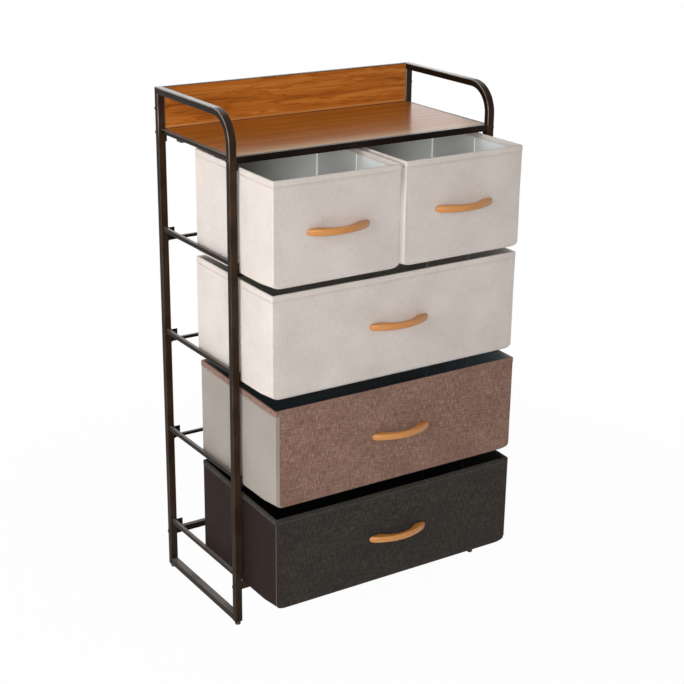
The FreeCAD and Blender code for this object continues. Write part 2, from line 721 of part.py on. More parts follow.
def make_drawer(name, centre_x, wide, rest):
    """One drawer: bin, front board, base board, handle and the handle's two screws."""
    low = f"({rest} + seat)"
    front_y = f"({closed_y} - {name}_pull_out)"
    base_low = f"({low} + bin_floor + seat)"
    front_low = f"({base_low} + base_board_thick + seat)"
    board_back = f"({front_y} + bin_wall + seat + front_board_thick)"
    pull_x = f"({centre_x} + {name}_pull_right)"
    pull_z = f"({low} + {bin_tall} / 2 + {name}_pull_up)"
    screw_x = [f"{pull_x} + {end} * handle_screws / 2" for end in (-1, 1)]
    bore = "pull_screw + 2 * play"

    shell = make_bin(name, (centre_x, f"{front_y} + bin_deep / 2", low), wide)
    holes = [cylinder(f"{name}_bin_hole{k}", (x, front_y, pull_z), "+y", bore, "bin_wall")
             for k, x in enumerate(screw_x)]
    node(cut(f"{name}_bin_cut", shell, holes), f"{name}_bin")

    base = make_base_board(name, (centre_x, f"{front_y} + bin_deep / 2", base_low), wide)
    node(base, f"{name}_base_board")

    board = block(f"{name}_front_blank",
                  (centre_x, f"{board_back} - front_board_thick / 2", front_low),
                  (f"{wide} - 2 * bin_corner", "front_board_thick",
                   f"{low} + {bin_tall} - front_board_drop - {front_low}"))
    holes = [cylinder(f"{name}_board_hole{k}", (x, board_back, pull_z), "-y", bore,
                      "front_board_thick")
             for k, x in enumerate(screw_x)]
    node(cut(f"{name}_front_cut", board, holes), f"{name}_front_board")

    bow = make_bow(name, (pull_x, f"{front_y} - seat", pull_z))
    holes = [cylinder(f"{name}_bow_hole{k}", (x, f"{front_y} - seat", pull_z), "-y", bore,
                      "pull_screw_grip")
             for k, x in enumerate(screw_x)]
    node(cut(f"{name}_bow_cut", bow, holes), f"{name}_handle")

    length = "front_board_thick + seat + bin_wall + seat + pull_screw_grip"
    group(f"{name}_handle_screws",
          [make_fastener(f"{name}_screw{k}", (x, board_back, pull_z), "-y", "pull_screw",
                         length, key=False)
           for k, x in enumerate(screw_x)])


# ---- the whole dresser

for side in sides:
    make_side(side)
make_cross_rail("shelf_front_rail", f"-1 * {post_y}", shelf_mid, plates=True)
make_cross_rail("shelf_rear_rail", post_y, shelf_mid, plates=True)
make_cross_rail("bottom_front_rail", f"-1 * {post_y}", bottom_mid)
make_cross_rail("bottom_rear_rail", post_y, bottom_mid, stops=True)
for side, sign in sides.items():
    glide = block(f"bottom_{side}_rod", (f"{sign} * {half_x}", "0", "lowest_rest - rod"),
                  ("rod", f"2 * {inner_y}", "rod"))
    node(glide, f"bottom_{side}_glide")
for rest, tier in zip(rests[1:], ("lower", "upper", "top")):
    make_rack(f"{tier}_rack", rest)
make_shelf()
make_backboard()
make_feet_and_frame_fasteners()
for rest, tier in zip(rests, ("bottom", "lower", "upper")):
    make_drawer(f"{tier}_drawer", "0", bin_full, rest)
for side, sign in sides.items():
    make_drawer(f"top_{side}_drawer", f"{sign} * {half_x}", bin_half, rests[3])
doc.recompute()

for item in doc.Objects:
    if {"Invalid", "Error"} & set(item.State):
        raise RuntimeError(f"{item.Label} failed: {item.State}")
for item in nodes:
    if item.Shape.isNull() or not item.Shape.isValid():
        raise RuntimeError(f"{item.Label} has no valid shape")

os.makedirs("parts", exist_ok=True)
for item in nodes:
    item.Shape.exportStep(f"parts/{item.Label}.step")
print(f"{len(nodes)} pieces written")
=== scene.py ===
import math
import random
from functools import partialmethod

import bpy
from mathutils import Matrix, Vector


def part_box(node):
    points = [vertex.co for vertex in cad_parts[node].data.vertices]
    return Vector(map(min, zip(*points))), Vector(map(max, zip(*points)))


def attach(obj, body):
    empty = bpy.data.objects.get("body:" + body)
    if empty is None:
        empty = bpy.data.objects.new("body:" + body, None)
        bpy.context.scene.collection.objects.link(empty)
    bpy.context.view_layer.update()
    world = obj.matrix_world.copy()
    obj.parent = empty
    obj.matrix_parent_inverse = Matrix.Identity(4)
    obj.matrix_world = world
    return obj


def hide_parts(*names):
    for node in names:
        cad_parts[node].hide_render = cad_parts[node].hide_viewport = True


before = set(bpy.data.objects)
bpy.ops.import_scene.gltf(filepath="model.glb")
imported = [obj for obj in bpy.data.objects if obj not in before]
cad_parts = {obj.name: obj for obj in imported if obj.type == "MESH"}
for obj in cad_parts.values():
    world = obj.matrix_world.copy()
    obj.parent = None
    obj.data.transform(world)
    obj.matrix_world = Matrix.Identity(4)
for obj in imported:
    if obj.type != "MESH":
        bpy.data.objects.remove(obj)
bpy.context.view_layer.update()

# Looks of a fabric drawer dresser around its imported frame. Metres, +Z up, the front faces -Y.
# The tubes, racks, rails and boards are the frame's own; cloth, handles, feet, fasteners, welds
# and stitches are built here.

mm = 0.001
black = (0, 0, 0, 1)
white = (1, 1, 1, 1)
scene = bpy.context.scene


def rgb(red, green, blue):
    # a screen colour from 0 to 255 as the linear colour that the shaders take
    def linear(part):
        share = part / 255
        return share / 12.92 if share <= 0.04045 else ((share + 0.055) / 1.055) ** 2.4
    return (linear(red), linear(green), linear(blue), 1)


# ---- shader nodes written as sums

class Wire:
    # one output of a node, which can be added, multiplied and so on

    def __init__(self, net, socket):
        self.net = net
        self.socket = socket

    def sum(self, operation, *others):
        values = dict(enumerate([self, *others]))
        return self.net.node("ShaderNodeMath", values, operation=operation)

    def __rsub__(self, other):
        return self.net.node("ShaderNodeMath", {0: other, 1: self}, operation="SUBTRACT")

    __add__ = __radd__ = partialmethod(sum, "ADD")
    __sub__ = partialmethod(sum, "SUBTRACT")
    __mul__ = __rmul__ = partialmethod(sum, "MULTIPLY")
    __truediv__ = partialmethod(sum, "DIVIDE")
    __pow__ = partialmethod(sum, "POWER")
    sine = partialmethod(sum, "SINE")
    size = partialmethod(sum, "ABSOLUTE")
    most = partialmethod(sum, "MAXIMUM")
    fraction = partialmethod(sum, "FRACT")

    def ease(self, start, end, low=0.0, high=1.0):
        # a smooth step from low at start to high at end
        return self.net.node("ShaderNodeMapRange", {
            "Value": self, "From Min": start, "From Max": end, "To Min": low, "To Max": high},
            interpolation_type="SMOOTHSTEP")

    def other(self, name):
        return Wire(self.net, self.socket.node.outputs[name])


class Net:
    # the node tree of a material or of the world

    def __init__(self, tree):
        self.tree = tree
        tree.nodes.clear()

    def node(self, kind, values=None, output=0, **settings):
        item = self.tree.nodes.new(kind)
        for name, value in settings.items():
            setattr(item, name, value)
        for name, value in (values or {}).items():
            if isinstance(value, Wire):
                self.tree.links.new(value.socket, item.inputs[name])
            else:
                item.inputs[name].default_value = value
        return Wire(self, item.outputs[output]) if item.outputs else item

    def place(self):
        return self.node("ShaderNodeTexCoord", output="Object")

    def parts(self, vector):
        first = self.node("ShaderNodeSeparateXYZ", {0: vector})
        return first, first.other("Y"), first.other("Z")

    def point(self, x, y, z=0.0):
        return self.node("ShaderNodeCombineXYZ", {0: x, 1: y, 2: z})

    def noise(self, vector, scale=1.0, detail=2.0, rough=0.5):
        return self.node("ShaderNodeTexNoise", {
            "Vector": vector, "Scale": scale, "Detail": detail, "Roughness": rough})

    def ramp(self, value, *stops):
        colours = self.node("ShaderNodeValToRGB", {0: value})
        elements = colours.socket.node.color_ramp.elements
        while len(elements) < len(stops):
            elements.new(1)
        for element, (place, colour) in zip(elements, stops):
            element.position = place
            element.color = colour
        return colours

    def mix(self, share, first, second, blend="MIX"):
        return self.node("ShaderNodeMix", {0: share, 6: first, 7: second}, 2,
                         data_type="RGBA", blend_type=blend)

    def bump(self, height, depth, strength):
        return self.node("ShaderNodeBump", {
            "Height": height, "Distance": depth, "Strength": strength})

    def surface(self, colour, rough, normal, **fixed):
        values = {"Base Color": colour, "Roughness": rough, "Normal": normal}
        for name, value in fixed.items():
            values[name.replace("_", " ")] = value
        shader = self.node("ShaderNodeBsdfPrincipled", values)
        self.node("ShaderNodeOutputMaterial", {"Surface": shader})


def material(name):
    item = bpy.data.materials.new(name)
    item.use_nodes = True
    return item, Net(item.node_tree)


# ---- finishes

def clothPlace(net):
    # along the cloth and up it, on the four walls of a bin and on its level faces
    x, y, z = net.parts(net.place())
    level = net.parts(net.node("ShaderNodeNewGeometry", output="True Normal"))[2].size()
    return x + y, z + (x - y) * level


def linen(name, look):
    # a plain weave of slubby threads; dark and light threads give the heather
    item, net = material(name)
    place = net.place()
    along, up = clothPlace(net)
    wander = (net.noise(place, 45) - 0.5) * look["wander"]
    warp, weft = (((way + wander) * (math.pi / look["thread"])).sine() for way in (along, up))
    over = (warp * weft).ease(-0.3, 0.3)
    threads = over * warp.size() + (1 - over) * weft.size()
    long, short = look["slubLong"], look["slubShort"]
    acrossSlubs = net.noise(net.point(along / long, up / short, 3.7), detail=3, rough=0.6)
    uprightSlubs = net.noise(net.point(along / short, up / long, 8.1), detail=3, rough=0.6)
    slubs = acrossSlubs * 0.42 + uprightSlubs * 0.58
    mottle = net.noise(place, 14, 3)
    tone = (slubs - 0.5) * look["slubs"] + (mottle - 0.5) * look["mottle"] + 0.5
    colour = net.ramp(tone, (0.15, look["dark"]), (0.5, look["middle"]), (0.85, look["light"]))
    # painted shade in the crevices between the threads
    shade = threads.ease(0.0, 0.75, look["paintedCreviceShade"], 1.0)
    colour = net.mix(1.0, colour, net.point(shade, shade, shade), "MULTIPLY")
    height = threads + slubs * 1.4
    fixed = {"Sheen_Weight": look["sheen"], "Specular_IOR_Level": 0.25}
    # painted light: the cloth glows towards its front, less towards the top
    if "paintedGapLight" in look:
        gap = look["paintedGapLight"]
        y, z = net.parts(place)[1:]
        lit = (y.ease(gap["front"], gap["back"], 1.0, 0.0)
               * z.ease(gap["low"], gap["high"], 1.0, gap["topShare"]))
        fixed["Emission_Color"] = net.mix(lit, black, look["light"])
        fixed["Emission_Strength"] = gap["glow"]
    net.surface(colour, mottle.ease(0.3, 0.7, 0.82, 0.92), net.bump(height, 0.25 * mm, 0.8),
                **fixed)
    return item


def feltCloth(name, look):
    # a smooth pressed cloth: tangled fibres with a grid of tiny bonded dots
    item, net = material(name)
    place = net.place()
    along, up = clothPlace(net)
    turns = math.pi / look["dot"]
    dots = ((along * turns).sine() * (up * turns).sine()).size()
    fibres = net.noise(net.point(along, up), 900, 4, 0.7)
    clouds = net.noise(place, 9, 3)
    tone = fibres * 0.35 + clouds * 0.65
    colour = net.ramp(tone, (0.25, look["dark"]), (0.75, look["light"]))
    fixed = {"Sheen_Weight": look["sheen"], "Specular_IOR_Level": 0.15}
    if "halfWide" in look:
        # painted shade and glow: more grey, glowing less, towards the left wall of a half-width
        # bin
        inBin = (net.parts(place)[0] / look["halfWide"] + 1).fraction()
        paintedShade = inBin.ease(look["paintedShadeFrom"], look["paintedShadeTo"], look["paintedShade"], 0.0)
        colour = net.mix(paintedShade, colour, look["grey"])
        fixed["Emission_Color"] = net.mix(paintedShade, look["light"], black)
        fixed["Emission_Strength"] = look["glow"]
    height = fibres * 0.8 - dots.ease(0.55, 0.95) * 0.6
    net.surface(colour, clouds.ease(0.3, 0.7, 0.7, 0.82), net.bump(height, 0.16 * mm, 0.6),
                **fixed)
    return item


def thread(name, colour, glow=0.0):
    # a twisted sewing thread or a bound edge; a glowing one gives off painted light
    item, net = material(name)
    place = net.place()
    x, y, z = net.parts(place)
    twist = ((x + y + z) * (2 * math.pi / (0.55 * mm))).sine()
    fuzz = net.noise(place, 700, 2)
    pale = tuple(min(1, part * 1.35) for part in colour[:3]) + (1,)
    net.surface(net.mix(fuzz, colour, pale), fuzz.ease(0.3, 0.7, 0.7, 0.85),
                net.bump(twist, 0.08 * mm, 0.7), Sheen_Weight=0.15,
                Emission_Color=pale, Emission_Strength=glow)
    return item


def laminate(name, look):
    # printed wood grain along X under a glossy clear layer; near some of the board's edges the
    # colour fades to another one: painted reflections, and paler and darker edge lines. They are
    # given as (axis, place on it, where the fade starts, where it ends, share, colour)
    item, net = material(name)
    place = net.place()
    x, y, z = net.parts(place)
    across = y + z

    def grain(long, fine, seed, detail, rough=0.5):
        place = net.point(x * long, across * fine, look["seed"] + seed)
        return net.noise(place, 1, detail, rough)

    drift = grain(2.2, 9, 0, 3) - 0.5
    bands = ((across / look["band"] + drift * look["drift"]) * (2 * math.pi)).sine() * 0.5 + 0.5
    fibres = grain(9, 900, 0, 4, 0.65)
    streaks = grain(4, 120, 4, 3)
    pores = grain(45, 1500, 9, 1)
    wander = grain(3.5, 26, 2, 4, 0.6)
    threads = grain(6, 330, 6, 3, 0.6)
    veins = (wander - 0.5).size().ease(0.0, 0.05, 1.0, 0.0) * threads.ease(0.4, 0.6)
    tone = bands * 0.12 + streaks * 0.4 + threads * 0.33 + fibres * 0.15 - veins * look["veins"]
    colour = net.ramp(tone, (0.22, look["dark"]), (0.5, look["middle"]), (0.78, look["light"]))
    pits = pores.ease(0.62, 0.72)
    colour = net.mix(pits * 0.3, colour, look["dark"])
    for axis, edge, start, end, share, edgeColour in look["edges"]:
        away = ((x, y, z)[axis] - edge).size()
        colour = net.mix(away.ease(start, end, share, 0.0), colour, edgeColour)
    smears = net.noise(place, 6, 2)
    net.surface(colour, smears.ease(0.3, 0.7, look["rough"], look["rough"] + 0.06),
                net.bump(fibres * 0.5 - pits, 0.03 * mm, 0.35),
                Specular_IOR_Level=look["shine"], Coat_Weight=look["coat"],
                Coat_Roughness=look["coatRough"], Coat_IOR=1.5)
    return item


def lacqueredWood(name, look):
    # fine straight grain along X under a satin lacquer
    item, net = material(name)
    x, y, z = net.parts(net.place())
    drift = net.noise(net.point(x * 6, y * 40, z * 40), detail=2) - 0.5
    rings = ((z / look["ring"] + drift * 1.6) * (2 * math.pi)).sine() * 0.5 + 0.5
    fibres = net.noise(net.point(x * 22, y * 1400, z * 1400), detail=4, rough=0.6)
    tone = rings * 0.22 + fibres * 0.78
    colour = net.ramp(tone, (0.3, look["dark"]), (0.52, look["middle"]), (0.78, look["light"]))
    net.surface(colour, fibres.ease(0.3, 0.7, 0.34, 0.44), net.bump(fibres, 0.04 * mm, 0.25),
                Coat_Weight=0.4, Coat_Roughness=0.18)
    return item


def bakedPaint(name, look):
    # a glossy dark baked finish with orange peel, painted shade on the faces along X, painted
    # highlights on the rounded corners, strongest up high, and paler up-facing faces that are
    # partly dusty and partly painted sheen
    item, net = material(name)
    place = net.place()
    peel = net.noise(place, 520, 2)
    clouds = net.noise(place, 16, 4)
    facing = net.parts(net.node("ShaderNodeNewGeometry", output="Normal"))
    # painted highlight mask: rounded corners beside faces along X, not facing down, strongest up
    # high
    corner = (facing[0].size() * (1 - facing[0] * facing[0]) ** 0.5).ease(0.2, 0.48)
    corner = corner * facing[2].ease(-0.4, -0.05)
    high = net.parts(place)[2].ease(look["highlightLow"], look["highlightHigh"], 0.12, 1.0)
    colour = net.mix(clouds.ease(0.35, 0.7), look["dark"], look["light"])
    # painted shade: the faces that look along X are darker
    colour = net.mix(facing[0].size().ease(0.8, 1.0, 0.0, 0.85), colour, look["deep"])
    # painted highlight on those corners
    colour = net.mix(corner * high * clouds.ease(0.3, 0.6, 0.3, 0.8), colour, look["paintedHighlight"])
    # paler faces that look up: partly dusty, partly painted sheen
    colour = net.mix(facing[2].ease(0.8, 1.0, 0.0, 0.38), colour, look["dustAndSheen"])
    net.surface(colour, clouds.ease(0.3, 0.75, look["rough"], look["rough"] + 0.1),
                net.bump(peel, 0.05 * mm, 0.35), Specular_IOR_Level=look["shine"])
    return item


def metal(name, look):
    # a plated or blackened fastener with fine turning marks
    item, net = material(name)
    place = net.place()
    marks = net.noise(place, 2600, 3, 0.7)
    stain = net.noise(place, 300, 3)
    colour = net.mix(stain, look["dark"], look["light"])
    net.surface(colour, marks.ease(0.3, 0.7, look["rough"], look["rough"] + 0.18),
                net.bump(marks, 0.02 * mm, 0.4), Metallic=look["metallic"])
    return item


def mouldedPlastic(name, colour):
    item, net = material(name)
    place = net.place()
    grain = net.noise(place, 1500, 3)
    scuff = net.noise(place, 90, 4)
    pale = tuple(min(1, part * 2.2) for part in colour[:3]) + (1,)
    net.surface(net.mix(scuff.ease(0.5, 0.75), colour, pale), grain.ease(0.3, 0.7, 0.42, 0.56),
                net.bump(grain, 0.05 * mm, 0.4))
    return item


creamLook = {
    "thread": 0.8 * mm, "wander": 0.5 * mm, "slubLong": 16 * mm, "slubShort": 1.3 * mm,
    "slubs": 1.3, "mottle": 0.7, "paintedCreviceShade": 0.86, "sheen": 0.15,
    "dark": rgb(212, 200, 191), "middle": rgb(227, 216, 208), "light": rgb(238, 229, 222)}
creamLinen = linen("creamLinen", creamLook)
paintedLightLinen = linen("paintedLightLinen", {
    **creamLook,
    # painted light glows at the front of the gap between the two upper bins
    "paintedGapLight": {"glow": 0.34, "front": -0.25, "back": -0.22, "low": 0.84, "high": 0.93,
                 "topShare": 0.35}})
heatherLook = {
    "thread": 0.9 * mm, "wander": 0.4 * mm, "slubLong": 15 * mm, "slubShort": 1.6 * mm,
    "mottle": 0.3}
brownLinen = linen("brownLinen", {
    **heatherLook, "slubs": 1.8, "paintedCreviceShade": 0.72, "sheen": 0.1,
    "dark": rgb(96, 66, 56), "middle": rgb(142, 107, 92), "light": rgb(188, 156, 138)})
charcoalLinen = linen("charcoalLinen", {
    **heatherLook, "slubs": 1.6, "paintedCreviceShade": 0.62, "sheen": 0.05,
    "dark": rgb(22, 18, 15), "middle": rgb(46, 40, 34), "light": rgb(90, 81, 72)})
beigeFelt = feltCloth("beigeFelt", {
    "dot": 1.5 * mm, "sheen": 0.1, "dark": rgb(147, 138, 130), "light": rgb(168, 160, 151)})
brownFelt = feltCloth("brownFelt", {
    "dot": 1.5 * mm, "sheen": 0.0, "dark": rgb(27, 16, 13), "light": rgb(40, 26, 21)})
# painted light: the lining glows; painted shade: more grey towards a half-width bin's left wall
greyLining = feltCloth("greyLining", {
    "dot": 1.8 * mm, "sheen": 0.1, "dark": rgb(206, 210, 208), "light": rgb(224, 228, 226),
    "glow": 0.1, "halfWide": 0.2835, "paintedShadeFrom": 0.3, "paintedShadeTo": 0.98, "paintedShade": 0.9,
    "grey": rgb(112, 108, 92)})
# painted shade: a darker copy of the grey lining, for inside the upper bin
paintedShadeLining = feltCloth("paintedShadeLining", {
    "dot": 1.8 * mm, "sheen": 0.0, "dark": rgb(184, 178, 168), "light": rgb(204, 198, 188)})
slateLining = feltCloth("slateLining", {
    "dot": 1.8 * mm, "sheen": 0.0, "dark": rgb(96, 103, 108), "light": rgb(118, 126, 131)})
blackLining = feltCloth("blackLining", {
    "dot": 1.8 * mm, "sheen": 0.0, "dark": rgb(22, 21, 21), "light": rgb(36, 34, 33)})
# painted reflection: the shelf pales over its front 45 mm, most along the very edge
shelfPaintedReflection = rgb(240, 212, 166)
shelfLaminate = laminate("shelfLaminate", {
    "seed": 2.0, "band": 0.045, "drift": 2.4, "veins": 0.1,
    "rough": 0.4, "shine": 0.04, "coat": 0.36, "coatRough": 0.17,
    "edges": [(1, -0.1355, 0, 45 * mm, 0.36, shelfPaintedReflection),
              (1, -0.1355, 1.5 * mm, 3.5 * mm, 0.6, shelfPaintedReflection)],
    "dark": rgb(143, 78, 21), "middle": rgb(173, 100, 31), "light": rgb(196, 123, 49)})
backEdge = rgb(214, 150, 84)
backLaminate = laminate("backLaminate", {
    "seed": 7.0, "band": 0.05, "drift": 2.0, "veins": 0.22,
    "rough": 0.4, "shine": 0.1, "coat": 0.0, "coatRough": 0.2,
    # painted reflection: a pale strip at the foot; also a paler right end and a dark top edge
    "edges": [(2, 0.9572, 4.5 * mm, 6.5 * mm, 0.6, backEdge),
              (0, 0.2847, 1.4 * mm, 2.0 * mm, 0.8, backEdge),
              (2, 1.038, 0.6 * mm, 1.2 * mm, 1.0, rgb(52, 30, 18))],
    "dark": rgb(136, 69, 17), "middle": rgb(195, 114, 41), "light": rgb(230, 160, 78)})
handleWood = lacqueredWood("handleWood", {
    "ring": 2.6 * mm, "dark": rgb(174, 106, 40), "middle": rgb(196, 128, 57),
    "light": rgb(215, 154, 80)})
paintLook = {
    "rough": 0.15, "shine": 0.05, "dark": rgb(47, 33, 23), "light": rgb(60, 45, 33),
    # deep: painted shade; next: painted highlight; last: tops partly dusty, partly painted sheen
    "deep": rgb(20, 14, 10), "paintedHighlight": rgb(158, 150, 142), "dustAndSheen": rgb(156, 152, 148),
    "highlightLow": 0.93, "highlightHigh": 0.98}
framePaint = bakedPaint("framePaint", paintLook)
# painted shade: a darker copy of the frame's paint, for the racks and rails in shade
paintedShadeRackPaint = bakedPaint("paintedShadeRackPaint", {
    **paintLook, "dark": rgb(26, 21, 17), "light": rgb(36, 29, 24)})
blackBolt = metal("blackBolt", {
    "metallic": 0.7, "rough": 0.3, "dark": rgb(28, 26, 26), "light": rgb(46, 43, 42)})
zincScrew = metal("zincScrew", {
    "metallic": 1.0, "rough": 0.28, "dark": rgb(150, 152, 156), "light": rgb(200, 202, 206)})
footPlastic = mouldedPlastic("footPlastic", rgb(24, 23, 23))
creamThread = thread("creamThread", rgb(214, 200, 186))
brownThread = thread("brownThread", rgb(104, 74, 62))
charcoalThread = thread("charcoalThread", rgb(84, 82, 80))
# the white and grey tapes glow with painted light
whiteTape = thread("whiteTape", rgb(226, 224, 214), 0.3)
greyTape = thread("greyTape", rgb(206, 204, 196), 0.05)
slateTape = thread("slateTape", rgb(112, 118, 122))
darkTape = thread("darkTape", rgb(36, 35, 34))
greyPiping = thread("greyPiping", rgb(88, 85, 82))
print("finishes made")


# ---- meshes

def mixed(first, second, share):
    return first + (second - first) * share


def placed(name, data):
    item = bpy.data.objects.new(name, data)
    scene.collection.objects.link(item)
    return item


def meshPiece(name, body, points, faces, finishes, finishOf=None):
    # a mesh in the frame's own place, riding on one body
    data = bpy.data.meshes.new(name)
    data.from_pydata(points, [], faces, shade_flat=False)
    for finish in finishes:
        data.materials.append(finish)
    if finishOf:
        data.polygons.foreach_set("material_index", finishOf)
    data.validate()
    data.update()
    piece = placed(name, data)
    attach(piece, body)
    return piece


def ring(points, spot, across, other, reaches):
    # points round a spot, evenly turned from across towards other, one for each reach
    for k, reach in enumerate(reaches):
        angle = 2 * math.pi * k / len(reaches)
        points.append(spot + (across * math.cos(angle) + other * math.sin(angle)) * reach)


def bridge(faces, first, second, count):
    # quads between two rings of count points, which start at first and second
    for k in range(count):
        after = (k + 1) % count
        faces.append((first + k, first + after, second + after, second + k))


def skin(faces, first, count, rings):
    # quads along rings of count points that follow each other from first, with both ends closed
    last = first + (rings - 1) * count
    for start in range(first, last, count):
        bridge(faces, start, start + count, count)
    faces.append(range(first + count - 1, first - 1, -1))
    faces.append(range(last, last + count))


def spin(points, faces, base, axis, rings):
    # rings about an axis, each given as (height along it, reaches), under one closed skin
    axis = Vector(axis)
    across = Vector((0, 0, 1)) if abs(axis.z) < 0.5 else Vector((1, 0, 0))
    start = len(points)
    for height, reaches in rings:
        ring(points, base + axis * height, across, axis.cross(across), reaches)
    skin(faces, start, len(rings[0][1]), len(rings))


def solidsOf(node):
    # the lowest and highest corner of each separate solid of a node
    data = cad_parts[node].data
    groups = list(range(len(data.vertices)))
    firsts = {}

    def find(k):
        while groups[k] != k:
            groups[k] = groups[groups[k]]
            k = groups[k]
        return k

    for vertex in data.vertices:
        key = tuple(round(part * 1e5) for part in vertex.co)
        groups[vertex.index] = find(firsts.setdefault(key, vertex.index))
    for edge in data.edges:
        groups[find(edge.vertices[0])] = find(edge.vertices[1])
    solids = {}
    for vertex in data.vertices:
        solids.setdefault(find(vertex.index), []).append(vertex.co)
    boxes = sorted((tuple(map(min, *spots)), tuple(map(max, *spots)))
                   for spots in solids.values())
    return [(Vector(low), Vector(high)) for low, high in boxes]


# ---- the drawers' cloth

binLook = {
    "corner": 2.0 * mm,        # rounding of the upright corners
    "innerCorner": 0.8 * mm,
    "sideFoot": 11.0 * mm,     # rounding of the front's lower corners
    "footKeep": 0.1,           # share of it that is left under the sides
    "footFade": 45.0 * mm,     # how far behind the front it gets there
    "frontFoot": 3.5 * mm,     # rounding under the front and the back
    "footTall": 9.0 * mm,
    "under": (14.0 * mm, 5.5 * mm, 12.0 * mm),   # insets of the flat base: sides, front, back
    "hemTall": 10.5 * mm,
    "hemProud": 0.45 * mm,
    "hemEdge": 0.55 * mm,      # height over which the hem rounds out
    "rimTall": 1.8 * mm,
    "wall": 4.0 * mm,
    "floor": 3.0 * mm,
    "boardFall": 2.5 * mm,     # slope of the lining over the top of the front board
    "step": 7.0 * mm,          # size of the mesh's faces
    "cornerSteps": 6,
    "footSteps": 6,
    "rimSteps": 8,
    "bulge": 1.1 * mm,         # swell of the side and back walls
    "ripple": 0.35 * mm,       # unevenness of the stretched cloth
    "edgeRipple": 1.6,         # how much more of it there is near the edges of the front
    "creaseWide": 2.2 * mm,    # fold halfway along the sides
    "creaseDeep": 0.8 * mm,
    "sag": 1.2 * mm,           # dip of the rim between the corners
    "sagFrom": 0.8,            # share of the height from which the walls dip with it
}

outs = [Vector(out) for out in ((0, -1), (1, 0), (0, 1), (-1, 0))]   # front, right, back, left


def cornersOf(low, high, insets):
    # of a rectangle inside a box, from the front left corner on; insets of sides, front, back
    left, front = low.x + insets[0], low.y + insets[1]
    right, back = high.x - insets[0], high.y - insets[2]
    return [Vector(corner) for corner in
            ((left, front), (right, front), (right, back), (left, back))]


def ringPlaces(wide, deep, look):
    # where the points of a ring lie: (side, share along the side, share round the corner)
    places = []
    for side, length in enumerate((wide, deep, wide, deep)):
        steps = max(4, round(length / look["step"]))
        places += [(side, k / steps, 0.0) for k in range(steps + 1)]
        places += [(side, 1.0, k / look["cornerSteps"]) for k in range(1, look["cornerSteps"])]
    return places


def ringPoint(low, high, insets, corner, place):
    # a point of a rounded rectangle, and which way is out there; side 0 is the front
    side, share, turn = place
    after = (side + 1) % 4
    corners = cornersOf(low, high, insets)
    start, end = corners[side], corners[after]
    if turn == 0.0:
        run = (end - start).normalized()
        return (start + run * corner).lerp(end - run * corner, share), outs[side]
    centre = end - (outs[side] + outs[after]) * corner
    angle = turn * math.pi / 2
    out = outs[side] * math.cos(angle) + outs[after] * math.sin(angle)
    return centre + out * corner, out


def profileRows(low, high, boardFace, boardTop, footRound, look):
    # the rows of a bin from under its base, up the outside, over the rim and down the inside:
    # (insets of the sides, front and back, height, corner, swell, zone)
    tall = high.z - low.z
    proud, wall = look["hemProud"], look["wall"]
    corner, inside = look["corner"], look["innerCorner"]
    hemLow = tall - look["hemTall"]
    hemOut = hemLow + look["hemEdge"]
    rimLow = tall - look["rimTall"]
    rows = []

    def add(insets, height, round_, zone, swell=0.0):
        rows.append((insets, height, round_, swell, zone))

    add([40 * mm] * 3, 0.4 * mm, 2 * mm, "base")
    add(look["under"], 0.2 * mm, 2 * mm, "base")
    for k in range(look["footSteps"] + 1):
        angle = k / look["footSteps"] * math.pi / 2
        pull = 1 - math.sin(angle)
        add((look["sideFoot"] * pull, look["frontFoot"] * pull, look["frontFoot"] * pull),
            look["footTall"] * (1 - math.cos(angle)), corner + footRound * pull, "foot")
    steps = round((hemLow - look["footTall"]) / look["step"])
    for k in range(1, steps + 1):
        share = k / steps
        add([0] * 3, mixed(look["footTall"], hemLow, share), corner, "wall",
            math.sin(share * math.pi))
    for share, height in ((0.55, hemLow + 0.05 * mm), (0.9, hemLow + 0.2 * mm),
                          *((1.0, mixed(hemOut, rimLow, k / 3)) for k in range(3))):
        add([-proud * share] * 3, height, corner, "hem")
    for k in range(look["rimSteps"] + 1):
        angle = k / look["rimSteps"] * math.pi
        reach = (wall / 2 + proud) * (1 - math.cos(angle)) - proud
        add([reach] * 3, rimLow + look["rimTall"] * math.sin(angle),
            max(0.6 * mm, corner - reach), "hem")
    for height in (rimLow - 5 * mm, hemLow + 0.5 * mm):
        add([wall + proud] * 3, height, inside, "turned")
    add((wall, wall + 0.4 * mm, wall), hemLow, inside, "lining")
    shoulder = boardTop - low.z
    front = boardFace - low.y
    for share in (0.15, 0.6, 1.0):
        add((wall, mixed(wall, front, share), wall), shoulder - share * look["boardFall"],
            inside, "lining")
    steps = round((shoulder - look["floor"]) / (2 * look["step"]))
    shoulder -= look["boardFall"]
    for k in range(1, steps):
        add((wall, front, wall), mixed(shoulder, look["floor"], k / steps), inside, "lining",
            math.sin(k / steps * math.pi))
    add((wall, front, wall), look["floor"] + inside, inside, "lining")
    add((wall + inside, front + inside, wall + inside), look["floor"], inside, "lining")
    add([30 * mm] * 3, look["floor"], 2 * mm, "lining")
    return rows


def liftOf(low, high, cloth, x, y, height):
    # how much higher the cloth stands here than the plain bin: the rim, given as (left, right,
    # back), and the softened lower corners of the front
    def clipped(share):
        return min(1.0, max(0.0, share))

    reach, tall = 15 * mm, 22 * mm   # how far the softening goes along the front and up it
    across = clipped((x - low.x) / (high.x - low.x))
    back = clipped((y - low.y) / (high.y - low.y))
    up = clipped(height / (high.z - low.z))
    left, right, rear = cloth["rim"]
    rim = mixed(mixed(left, right, across), rear, back)
    corner = math.hypot(min(x - low.x, high.x - x), y - low.y)
    soft = cloth["cornerUp"] * math.exp(-(corner / reach) ** 2) * max(0.0, 1 - height / tall)
    return (rim * up + soft) * mm


def lipShare(place):
    # 1 on the front, fading round its corners, 0 on the other walls
    side, share, turn = place
    return {0: (1 - turn) ** 4, 3: turn ** 4}.get(side, 0.0)


